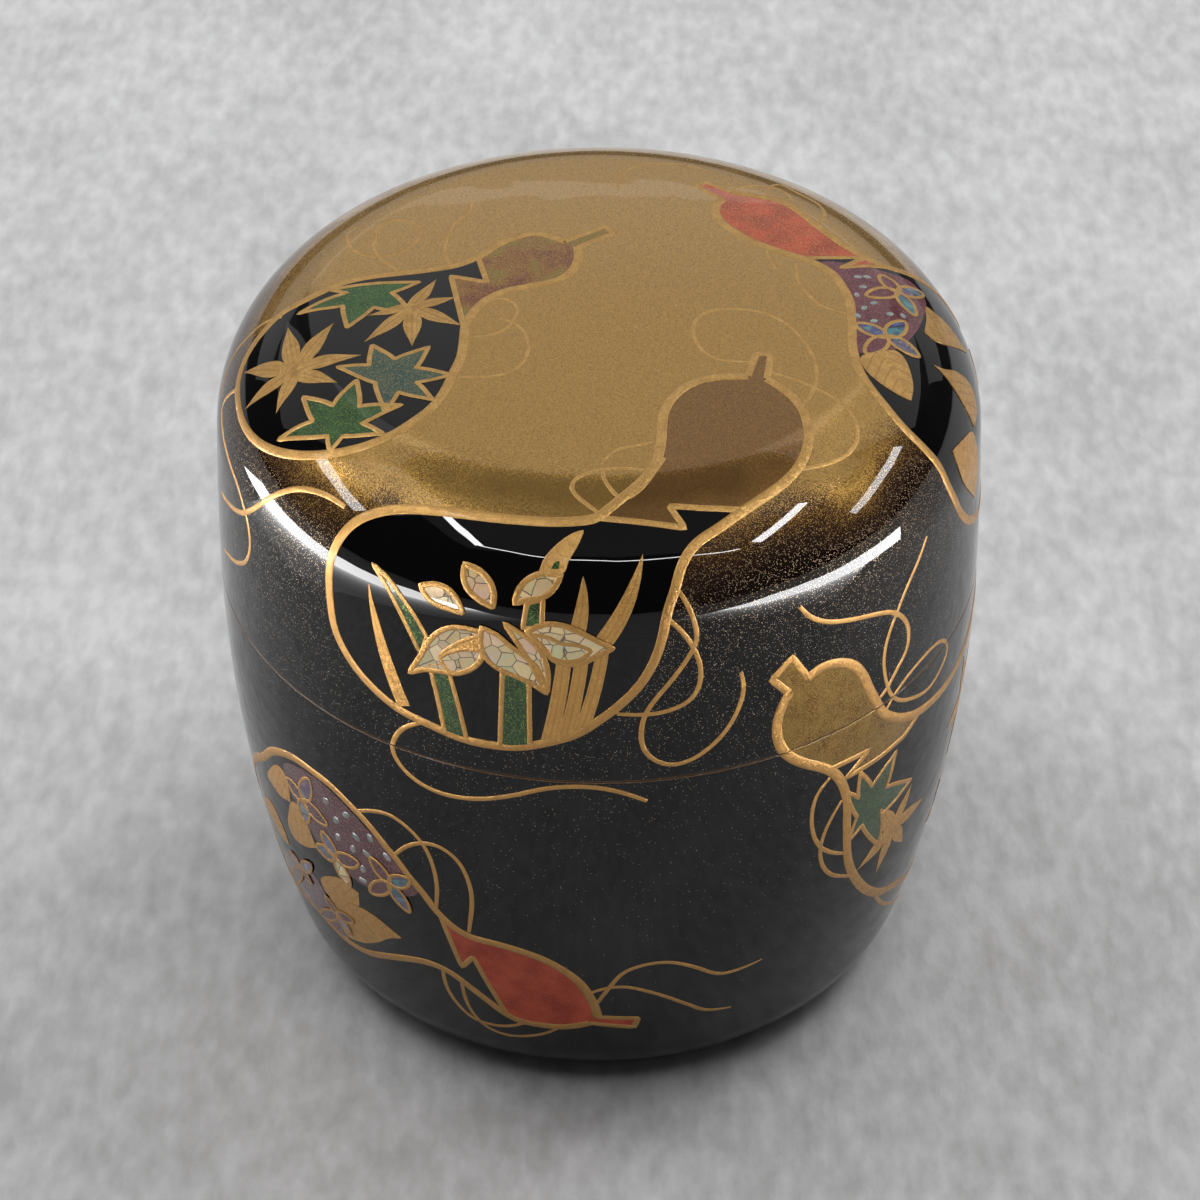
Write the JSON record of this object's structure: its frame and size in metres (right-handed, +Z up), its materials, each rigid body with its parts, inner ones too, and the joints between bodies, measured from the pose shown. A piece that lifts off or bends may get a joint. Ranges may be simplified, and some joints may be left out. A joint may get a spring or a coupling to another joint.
{
  "type": "lacquer tea caddy",
  "caption": "Round lacquered wooden tea caddy with a rounded heel, a softly domed lift-off lid and a standing inner lip, decorated with gourds in gold, colours and shell.",
  "frame": {"origin": "centre of the foot's plane, on the turning axis", "axes": "+Z up along the turning axis, -Y towards the viewer of the picture, where the gourd with the irises is, +X to that viewer's right"},
  "size_m": [0.066, 0.066, 0.0658],
  "materials": {
    "body_lacquer": "polished black lacquer over turned wood, with painted gold, colours and shell inlay",
    "lid_lacquer": "polished black lacquer over turned wood, with gold dust dense on the top, and painted gold, colours and shell inlay"
  },
  "bodies": {
    "root": {"body": "body_lacquer", "lid": "lid_lacquer"}
  },
  "joints": []
}
